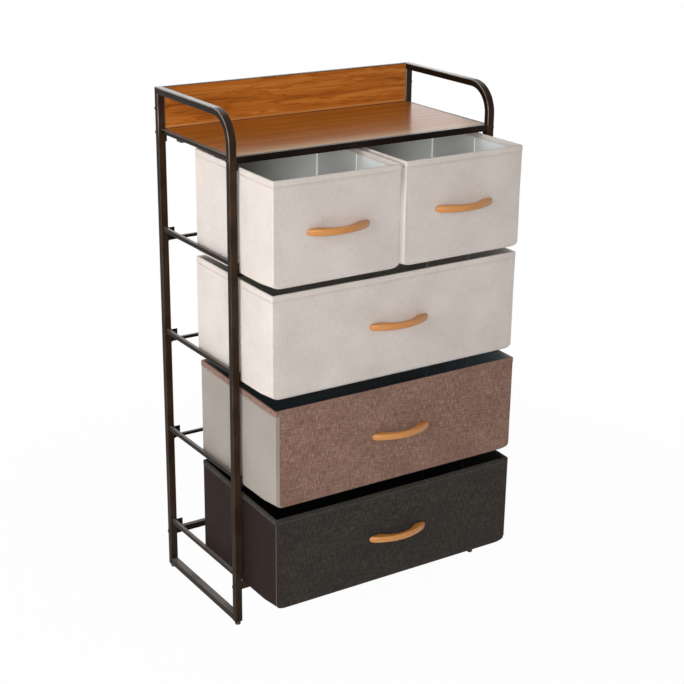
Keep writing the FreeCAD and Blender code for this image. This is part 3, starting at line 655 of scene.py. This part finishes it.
def clothBin(name, cloth, look):
    # the outer cloth, the hem over the rim and the lining, as one closed shell
    low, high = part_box(f"{name}_bin")
    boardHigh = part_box(f"{name}_front_board")[1]
    rng = random.Random(cloth["seed"])
    wide, deep = high.x - low.x, high.y - low.y
    middleX = (low.x + high.x) / 2
    places = ringPlaces(wide, deep, look)
    rows = profileRows(low, high, boardHigh.y, boardHigh.z, cloth["footRound"] * mm, look)
    waves = [[(rng.uniform(1.5, 6.5), rng.uniform(0.8, 3.2), rng.uniform(0, 6.3))
              for _ in range(4)] for _ in range(4)]
    points = []
    for insets, height, corner, swell, zone in rows:
        for place in places:
            spot, out = ringPoint(low, high, insets, corner, place)
            if zone == "foot":
                # the rounding under the sides fades away behind the front
                behind = min(1.0, (spot.y - low.y) / look["footFade"])
                kept = mixed(1, look["footKeep"], behind)
                reach = (wide - 2 * insets[0] * kept) / (wide - 2 * insets[0])
                spot.x = middleX + (spot.x - middleX) * reach
            side, share, turn = place
            middle = math.sin(share * math.pi) if turn == 0.0 else 0.0
            up = height / (high.z - low.z)
            ripple = sum(math.sin(a * math.pi * share * 2 + b * math.pi * up + c)
                         for a, b, c in waves[side]) / 4
            if side == 0:
                # the board keeps the front flat, and the cloth only dips a little near its edges
                push = -abs(ripple) * look["ripple"] * (1 - middle) * look["edgeRipple"]
            else:
                fold = abs(share - 0.5) * deep if side in (1, 3) else 1
                crease = math.exp(-(fold / look["creaseWide"]) ** 2) * look["creaseDeep"]
                push = middle ** 0.7 * look["bulge"] + ripple * look["ripple"] * middle - crease
            dip = (look["sag"] * middle * max(0.0, up - look["sagFrom"]) / (1 - look["sagFrom"])
                   * (0.5 + 0.25 * ripple))
            spot = spot + out * push * swell
            lift = 0.0 if zone == "base" else liftOf(low, high, cloth, spot.x, spot.y, height)
            if zone in ("foot", "wall"):
                # the front hangs a little lower, in front of the rail that it closes against
                lift += cloth["foot"] * mm * (1 - up) * lipShare(place)
            points.append(Vector((spot.x, spot.y, low.z + height - dip + lift)))
    faces = []
    skin(faces, 0, len(places), len(rows))
    # which finish each face has: 0 the front's, 1 the side's, 2 the lining's, 3 the left side's
    zoneFinish = {"base": 1, "hem": 0, "turned": cloth["turned"], "lining": 2}
    finishOf = []
    for *_, zone in rows[1:]:
        for side, share, turn in places:
            if zone not in ("wall", "foot"):
                finishOf.append(zoneFinish[zone])
            elif side == 0 and turn == 0.0 and cloth["wrap"] <= share < 1.0 - cloth["wrap"]:
                finishOf.append(0)
            else:
                finishOf.append(3 if side == 3 and turn == 0.0 else 1)
    finishes = [cloth.get(part, cloth["side"]) for part in ("front", "side", "lining", "leftSide")]
    piece = meshPiece(f"{name}_cloth", name, points, faces, finishes,
                      finishOf + [1, 2])
    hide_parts(f"{name}_bin", f"{name}_front_board")


stitchLook = {
    "up": 1.9 * mm,            # above the lower edge of the hem
    "pitch": 4.0 * mm,
    "long": 2.9 * mm,
    "thick": 0.34 * mm,
    "proud": 0.12 * mm,
    # (share of half the length, share of the thickness) along a stitch
    "shape": ((-1, 0.35), (-0.75, 0.9), (0, 1.15), (0.75, 0.9), (1, 0.35)),
}


def stitches(name, cloth, look, stitch):
    # one row of short stitches round the hem
    low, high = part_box(f"{name}_bin")
    tall = high.z - low.z
    up = tall - look["hemTall"] + stitch["up"]
    sag = look["sag"] * 0.5 * (1 - look["hemTall"] / ((1 - look["sagFrom"]) * tall))
    corners = [corner.to_3d() for corner in cornersOf(low, high, (0, 0, 0))]
    points, faces = [], []
    for side in range(4):
        start = corners[side]
        along = corners[(side + 1) % 4] - start
        out = outs[side].to_3d()
        run = along.normalized()
        length = along.length - 2 * look["corner"]
        number = int(length / stitch["pitch"])
        for k in range(number):
            share = (k + 0.5) / number
            centre = start + run * (look["corner"] + share * length) + out * look["hemProud"]
            centre.z = (low.z + up - sag * math.sin(share * math.pi)
                        + liftOf(low, high, cloth, centre.x, centre.y, up))
            first = len(points)
            for at, size in stitch["shape"]:
                spot = (centre + run * at * stitch["long"] / 2
                        + out * stitch["proud"] * (1 - 2 * at * at))
                ring(points, spot, out, run.cross(out), [stitch["thick"] * size] * 6)
            skin(faces, first, 6, len(stitch["shape"]))
    meshPiece(f"{name}_hem_stitches", name, points, faces, [cloth["thread"]])


pipingLook = {
    "thick": 0.6 * mm,
    "beside": 0.7 * mm,        # its middle inside the corner, along X
    "behind": 0.35 * mm,       # and along Y
    "underHem": 0.6 * mm,
    "steps": 32,
}


def cornerPiping(name, cloth, look, piping):
    # a thin corded edge up both front corners
    low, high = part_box(f"{name}_bin")
    bottom = look["footTall"]
    top = high.z - low.z - look["hemTall"] + piping["underHem"]
    points, faces = [], []
    for x, beside in ((low.x, piping["beside"]), (high.x, -piping["beside"])):
        first = len(points)
        for k in range(piping["steps"] + 1):
            height = mixed(bottom, top, k / piping["steps"])
            lift = liftOf(low, high, cloth, x, low.y, height)
            spot = Vector((x + beside, low.y + piping["behind"], low.z + height + lift))
            ring(points, spot, Vector((1, 0, 0)), Vector((0, 1, 0)), [piping["thick"]] * 10)
        skin(faces, first, 10, piping["steps"] + 1)
    meshPiece(f"{name}_piping", name, points, faces, [cloth["piping"]])


tapeLook = {
    "fold": {"wide": 2.6 * mm, "thick": 0.5 * mm},
    "corner": {"wide": 3.6 * mm, "thick": 0.6 * mm},
    "cornerOut": 0.9 * mm,     # how far the tapes bridge the corners
    "sunk": 0.1 * mm,
    "upHem": 1.0 * mm,
    "steps": 16,
    # (share of the width, share of the thickness) round a tape
    "section": [(-0.5, 0.0), (-0.46, 0.6), (-0.38, 1.0), (0.0, 1.15), (0.38, 1.0),
                (0.46, 0.6), (0.5, 0.0)],
}


def liningTapes(name, cloth, look, tape):
    # bound seams inside a bin: the upright corners, and the folds halfway along the sides
    low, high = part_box(f"{name}_bin")
    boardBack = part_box(f"{name}_front_board")[1].y
    bottom = low.z + look["floor"]
    top = high.z - look["hemTall"] + tape["upHem"]
    points, faces = [], []

    def strip(spot, out, size):
        across = Vector((0, 0, 1)).cross(out)
        first = len(points)
        for k in range(tape["steps"] + 1):
            spot.z = mixed(bottom, top, k / tape["steps"])
            for side, lift in tape["section"]:
                points.append(spot + across * side * size["wide"]
                              + out * (lift * size["thick"] - tape["sunk"]))
        skin(faces, first, len(tape["section"]), tape["steps"] + 1)

    for sign, x in ((1, low.x + look["wall"]), (-1, high.x - look["wall"])):
        strip(Vector((x, (low.y + high.y) / 2, 0)), Vector((sign, 0, 0)), tape["fold"])
        for turn, y in ((1, boardBack), (-1, high.y - look["wall"])):
            out = Vector((sign, turn, 0)).normalized()
            strip(Vector((x, y, 0)) + out * tape["cornerOut"], out, tape["corner"])
    meshPiece(f"{name}_lining_tapes", name, points, faces, [cloth["tape"]])


baseLook = {
    "step": 14.0 * mm,         # size of the mesh's faces
    "cornerSteps": 4,
    "corner": 4.0 * mm,
    "edge": 1.6 * mm,          # rounding of the rim
    "edgeSteps": 8,
}


def baseBoard(name, cloth, look):
    # the loose base: a stiff board in its own cloth cover, with soft rounded edges
    low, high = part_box(f"{name}_base_board")
    places = ringPlaces(high.x - low.x, high.y - low.y, look)
    tall = high.z - low.z
    rows = [(30 * mm, 0.0, 3 * mm)]
    for k in range(look["edgeSteps"] + 1):
        angle = math.pi * k / look["edgeSteps"]
        rows.append((look["edge"] * (1 - math.sin(angle)), tall / 2 * (1 - math.cos(angle)),
                     look["corner"]))
    # the cover dips a little away from its edges
    rows += [(12 * mm, tall - 0.1 * mm, 3 * mm), (40 * mm, tall - 0.35 * mm, 3 * mm)]
    points = []
    for inset, height, corner in rows:
        for place in places:
            spot = ringPoint(low, high, [inset] * 3, corner, place)[0]
            points.append(Vector((spot.x, spot.y, low.z + height)))
    faces = []
    skin(faces, 0, len(places), len(rows))
    piece = meshPiece(f"{name}_base", name, points, faces, [cloth["lining"]])
    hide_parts(f"{name}_base_board")


# ---- the handles

handleLook = {
    "thick": 9.0 * mm,         # in the middle of the bow
    "tip": 4.0 * mm,           # at the ends
    "finger": 84.0 * mm,       # width of the gap at the cloth
    "outerRound": 4.2 * mm,
    "innerRound": 1.6 * mm,
    "endRound": 8.5 * mm,
    "endThick": 0.35,          # shares of the thickness and height that are left at the ends
    "endTall": 0.14,
    "endClear": 0.3 * mm,      # gap between the rounded ends and the ends of the plain handle
    "gapSoft": 0.6 * mm,       # softening where the gap begins
    "stations": 72,
}


def arcHeight(x, half, rise):
    # height of a circular arc over a chord, at x from its middle
    if abs(x) >= half:
        return 0.0
    radius = (half * half + rise * rise) / (2 * rise)
    return math.sqrt(radius * radius - x * x) - (radius - rise)


def bowHandle(name, look):
    # a bow lofted from rounded sections, flat on the cloth at both ends
    low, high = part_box(f"{name}_handle")
    centre = (low.x + high.x) / 2
    middleZ = (low.z + high.z) / 2
    half = (high.x - low.x) / 2
    bow = high.y - low.y
    steps = look["stations"]
    points = []
    for k in range(steps + 1):
        x = -math.cos(k / steps * math.pi) * (half - look["endClear"])
        gap = arcHeight(x, look["finger"] / 2, bow - look["thick"])
        inner = (gap + math.hypot(gap, look["gapSoft"]) - look["gapSoft"]) / 2
        outer = look["tip"] + arcHeight(x, half, bow - look["tip"])
        nose = min(1.0, (half - abs(x)) / look["endRound"])
        tipShare = math.sqrt(max(0.0, 1 - (1 - nose) ** 2))
        outer = inner + (outer - inner) * mixed(look["endThick"], 1, tipShare)
        halfTall = (high.z - low.z) / 2 * mixed(look["endTall"], 1, tipShare)
        outerRound = min(look["outerRound"], (outer - inner) * 0.6, halfTall)
        innerRound = min(look["innerRound"], (outer - inner) * 0.35)
        # the upper half of the section, from the cloth outwards
        line = []
        for start, way, radius, turns in ((inner, 1, innerRound, 5), (outer, -1, outerRound, 7)):
            arc = [j / turns * math.pi / 2 for j in range(turns + 1)]
            line += [(start + way * radius * (1 - math.cos(angle)),
                      halfTall - radius * (1 - math.sin(angle))) for angle in arc[::way]]
        section = [(out, -up) for out, up in line[::-1]] + line
        points += [Vector((centre + x, high.y - out, middleZ + up)) for out, up in section]
    faces = []
    skin(faces, 0, len(section), steps + 1)
    piece = meshPiece(f"{name}_pull", name, points, faces, [handleWood])
    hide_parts(f"{name}_handle")


# ---- fasteners, feet and welds

boltHead = {
    "slot": "black_bolt", "finish": blackBolt,
    "way": (1, 0, 0),          # out of the head; along X away from the dresser's middle
    "radius": 5.0 * mm,
    "rise": 2.8 * mm,
    "key": 4.6 * mm,           # width of the hexagon socket
}
screwHead = {
    "slot": "zinc_screw", "finish": zincScrew, "way": (0, 0, -1),
    "radius": 3.5 * mm, "rise": 2.2 * mm}
headLooks = {
    "frame_bolts": boltHead,
    "backboard_bolts": boltHead,
    "rack_bolts": {**boltHead, "way": (-1, 0, 0), "radius": 4.0 * mm, "rise": 2.0 * mm,
                   "key": 3.4 * mm},
    "board_screws": screwHead,
}
handleScrew = {**screwHead, "way": (0, 1, 0), "radius": 4.0 * mm, "rise": 2.4 * mm}


def socketRings(look):
    # a button head with a hexagon socket
    radius, rise = look["radius"], look["rise"]
    sides = 24
    bend = 1.15                # how far round the dome goes, in radians
    dome = [(rise * math.sin(k / 6 * bend) / math.sin(bend), radius * math.cos(k / 6 * bend))
            for k in range(1, 7)]
    rings = [(height, [reach] * sides)
             for height, reach in ((-0.2 * mm, radius * 0.985), (0.15 * mm, radius), *dome)]
    flat = math.pi / 6
    reach = look["key"] / 2 * math.cos(flat)
    socket = [reach / math.cos(flat - 2 * math.pi * k / sides % (2 * flat))
              for k in range(sides)]
    for height, size in ((rise, 1.0), (rise - 0.15 * mm, 0.97), (rise * 0.25, 0.95)):
        rings.append((height, [reach * size for reach in socket]))
    return rings


def crossRings(look):
    # a pan head with a cross recess
    radius, rise = look["radius"], look["rise"]
    sides = 32
    rings = [(-0.1 * mm, [radius * 0.98] * sides), (0.1 * mm, [radius] * sides)]
    for height, reach in ((0.35, 1.0), (0.68, 0.93), (0.88, 0.78), (1.0, 0.62)):
        rings.append((rise * height, [radius * reach] * sides))
    cross = [1 - 0.68 * min(1.0, abs(math.sin(4 * math.pi * k / sides)) * 1.6)
             for k in range(sides)]
    for height, reach in ((1.0, 0.6), (0.45, 0.52)):
        rings.append((rise * height, [radius * reach * pull for pull in cross]))
    rings.append((rise * 0.3, [radius * 0.12] * sides))
    return rings


def heads(node, body, look):
    # a head on the outer end of each bolt or screw of a node
    rings = socketRings(look) if "key" in look else crossRings(look)
    points, faces = [], []
    for low, high in solidsOf(node):
        base = (low + high) / 2
        axis = Vector(look["way"])
        axis.x *= math.copysign(1, base.x)
        for k in range(3):
            if axis[k]:
                base[k] = (high if axis[k] > 0 else low)[k] - axis[k] * look["rise"]
        spin(points, faces, base, axis, rings)
    piece = meshPiece(f"{node}_heads", body, points, faces, [look["finish"]])
    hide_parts(node)


# (height, radius) up a glide in millimetres
footProfile = [(0.0, 3.6), (0.25, 5.0), (1.0, 5.8), (1.9, 6.0), (3.0, 6.0), (3.5, 5.6),
               (3.9, 5.3), (5.0, 5.3), (5.4, 5.5), (5.8, 6.0), (6.1, 6.3), (7.5, 6.3),
               (7.8, 6.1), (8.0, 5.5), (8.0, 4.9), (18.0, 4.9), (21.0, 4.4)]


def plugFeet(profile):
    # a glide with a waist and a collar under the end of each post
    points, faces = [], []
    rings = [(height * mm, [radius * mm] * 32) for height, radius in profile]
    for low, high in solidsOf("feet"):
        base = (low + high) / 2
        base.z = low.z
        spin(points, faces, base, (0, 0, 1), rings)
    piece = meshPiece("plug_feet", "frame", points, faces, [footPlastic])
    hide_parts("feet")


weldLook = {
    "seed": 5,
    "rails": ("floor_runner", "bottom_side_rail", "lower_side_rail", "upper_side_rail",
              "top_side_rail"),
    "thick": 0.9 * mm,
    "ripple": 0.22,
    "unevenness": 0.08,
    "inset": 0.25 * mm,
    "steps": 64,
}


def weldBead(points, faces, centre, halfWide, halfTall, rng, look):
    # a rippled bead round the end of a rail that meets a post
    steps = look["steps"]
    first = len(points)
    for k in range(steps):
        angle = 2 * math.pi * k / steps
        direction = Vector((math.cos(angle), 0, -math.sin(angle)))
        reach = min(halfWide / max(0.01, abs(math.cos(angle))),
                    halfTall / max(0.01, abs(math.sin(angle))),
                    math.hypot(halfWide, halfTall) * 0.9)
        swell = (0.85 + look["ripple"] * abs(math.sin(k * 1.9))
                 + rng.uniform(-look["unevenness"], look["unevenness"]))
        ring(points, centre + direction * reach, direction, Vector((0, -1, 0)),
             [look["thick"] * swell] * 6)
    for k in range(steps):
        bridge(faces, first + k * 6, first + (k + 1) % steps * 6, 6)


def frameWelds(look):
    rng = random.Random(look["seed"])
    points, faces = [], []
    for side in ("left", "right"):
        for rail in look["rails"]:
            low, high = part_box(f"{side}_{rail}")
            centre = (low + high) / 2
            for y in (low.y, high.y):
                weldBead(points, faces, Vector((centre.x, y, centre.z)),
                         (high.x - low.x) / 2 - look["inset"],
                         (high.z - low.z) / 2 - look["inset"], rng, look)
    meshPiece("frame_welds", "frame", points, faces, [framePaint])


# ---- finishes of the frame's own pieces

finishOfNode = {"shelf_board": shelfLaminate, "backboard": backLaminate,
                "shelf_front_rail": paintedShadeRackPaint, "bottom_rear_rail": paintedShadeRackPaint,
                "lower_rack": paintedShadeRackPaint, "upper_rack": paintedShadeRackPaint, "top_rack": paintedShadeRackPaint}
for name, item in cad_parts.items():
    item.data.materials.clear()
    item.data.materials.append(finishOfNode.get(name, framePaint))
print("frame dressed")

creamCloth = {"slot": "cream_linen", "front": creamLinen, "side": creamLinen, "wrap": 0.0,
              "lining": greyLining, "thread": creamThread, "tape": whiteTape, "turned": 0}
# "wrap" is the share of the front that the side's cloth covers, "turned" the finish of the hem
# inside; "rim", "foot", "footRound" and "cornerUp" are in millimetres
cloths = {
    "bottom_drawer": {"seed": 11, "slot": "charcoal_linen", "front": charcoalLinen,
                      "side": brownFelt, "lining": blackLining, "thread": charcoalThread,
                      "tape": darkTape, "piping": greyPiping, "wrap": 0.0, "turned": 2,
                      "rim": (-8.0, -8.0, 6.5), "foot": -4.0, "footRound": 15,
                      "cornerUp": 1.2},
    "lower_drawer": {"seed": 12, "slot": "brown_linen", "front": brownLinen,
                     "side": beigeFelt, "lining": slateLining, "thread": brownThread,
                     "tape": slateTape, "wrap": 0.006, "turned": 2,
                     "rim": (-1.5, -1.0, 8.5), "foot": -3.0, "footRound": 9, "cornerUp": 1.2},
    "upper_drawer": {**creamCloth, "seed": 13, "lining": paintedShadeLining, "tape": greyTape,
                     "turned": 2, "rim": (4.0, 4.5, 6.0), "foot": -1.2, "footRound": 5,
                     "cornerUp": 0.8},
    "top_left_drawer": {**creamCloth, "seed": 14, "rim": (1.0, 0.5, 4.2), "foot": -1.2,
                        "footRound": 3, "cornerUp": 0.6},
    "top_right_drawer": {**creamCloth, "seed": 15, "leftSide": paintedLightLinen,
                         "rim": (3.5, 4.5, 3.5), "foot": 0.0, "footRound": 4, "cornerUp": 0.8},
}

for name, cloth in cloths.items():
    clothBin(name, cloth, binLook)
    stitches(name, cloth, binLook, stitchLook)
    liningTapes(name, cloth, binLook, tapeLook)
    if "piping" in cloth:
        cornerPiping(name, cloth, binLook, pipingLook)
    baseBoard(name, cloth, baseLook)
    bowHandle(name, handleLook)
    heads(f"{name}_handle_screws", name, handleScrew)
print("drawers made")

for node, look in headLooks.items():
    heads(node, "frame", look)
plugFeet(footProfile)
frameWelds(weldLook)
print("fasteners, feet and welds made")


# ---- floor, light and camera

studio = {
    "floorSize": 40.0,
    "floorColour": rgb(250, 250, 250),
    "nearWhite": 0.97,         # share of plain white in the floor beside the dresser
    "farFrom": 0.6,            # metres from the dresser where the floor turns plain white
    "farTo": 1.6,
    "ambient": 0.26,
    "aim": (0, 0, 0.5),        # where the lamps point
    "lamps": {
        "key": {"place": (-3.42, -0.76, 1.9), "size": 2.2, "power": 84},
        "fill": {"place": (-2.1, -3.3, 1.75), "size": 1.4, "power": 53},
        "back": {"place": (1.8, 3.0, 1.75), "size": 1.4, "power": 10},
    },
}


def seenRays(net):
    # 1 for what the camera, a reflection or glass sees, 0 for the light that falls on things
    rays = net.node("ShaderNodeLightPath", output="Is Camera Ray")
    return rays.most(rays.other("Is Glossy Ray")).most(rays.other("Is Transmission Ray"))


def makeFloor(look):
    half = look["floorSize"] / 2
    item, net = material("floorWhite")
    x, y = net.parts(net.place())[:2]
    away = (x * x + y * y) ** 0.5
    share = away.ease(look["farFrom"], look["farTo"], look["nearWhite"], 1.0)
    lit = net.node("ShaderNodeBsdfDiffuse", {"Color": look["floorColour"]})
    plain = net.node("ShaderNodeEmission", {"Color": white, "Strength": 1.0})
    both = net.node("ShaderNodeMixShader", {0: seenRays(net) * share, 1: lit, 2: plain})
    net.node("ShaderNodeOutputMaterial", {"Surface": both})
    data = bpy.data.meshes.new("floor")
    data.from_pydata([(-half, -half, 0), (half, -half, 0), (half, half, 0), (-half, half, 0)],
                     [], [(0, 1, 2, 3)])
    data.materials.append(item)
    placed("floor", data)


def makeWorld(look):
    world = bpy.data.worlds.new("studio")
    scene.world = world
    world.use_nodes = True
    net = Net(world.node_tree)
    soft, plain = (net.node("ShaderNodeBackground", {"Color": white, "Strength": strength})
                   for strength in (look["ambient"], 1.0))
    both = net.node("ShaderNodeMixShader", {0: seenRays(net), 1: soft, 2: plain})
    net.node("ShaderNodeOutputWorld", {"Surface": both})


def makeLamp(name, look, aim):
    data = bpy.data.lights.new(name, "AREA")
    data.shape = "SQUARE"
    data.size = look["size"]
    data.energy = look["power"]
    lamp = placed(name, data)
    lamp.location = look["place"]
    lamp.rotation_euler = (aim - lamp.location).to_track_quat("-Z", "Y").to_euler()


viewPoint = {
    "place": (-1.5559, -2.4507, 1.5613),
    "azimuth": 33.1,           # degrees from +Y towards +X
    "elevation": 20.0,
    "roll": 0.7,
    "focal": 1489.3,           # in the image's pixels
    "imageWide": 684,
    "sensor": 36.0,
}


def makeCamera(look):
    azimuth, elevation, roll = (math.radians(look[name])
                                for name in ("azimuth", "elevation", "roll"))
    ahead = Vector((math.sin(azimuth) * math.cos(elevation),
                    math.cos(azimuth) * math.cos(elevation), -math.sin(elevation)))
    right = Vector((math.cos(azimuth), -math.sin(azimuth), 0))
    up = right.cross(ahead)
    turnedRight = right * math.cos(roll) + up * math.sin(roll)
    turnedUp = up * math.cos(roll) - right * math.sin(roll)
    data = bpy.data.cameras.new("camera")
    data.sensor_fit = "HORIZONTAL"
    data.sensor_width = look["sensor"]
    data.lens = look["sensor"] * look["focal"] / look["imageWide"]
    camera = placed("camera", data)
    axes = Matrix((turnedRight, turnedUp, -ahead)).transposed().to_4x4()
    camera.matrix_world = Matrix.Translation(look["place"]) @ axes
    scene.camera = camera


makeFloor(studio)
makeWorld(studio)
for name, look in studio["lamps"].items():
    makeLamp(name, look, Vector(studio["aim"]))
makeCamera(viewPoint)
scene.view_settings.view_transform = "Standard"
print("studio made")
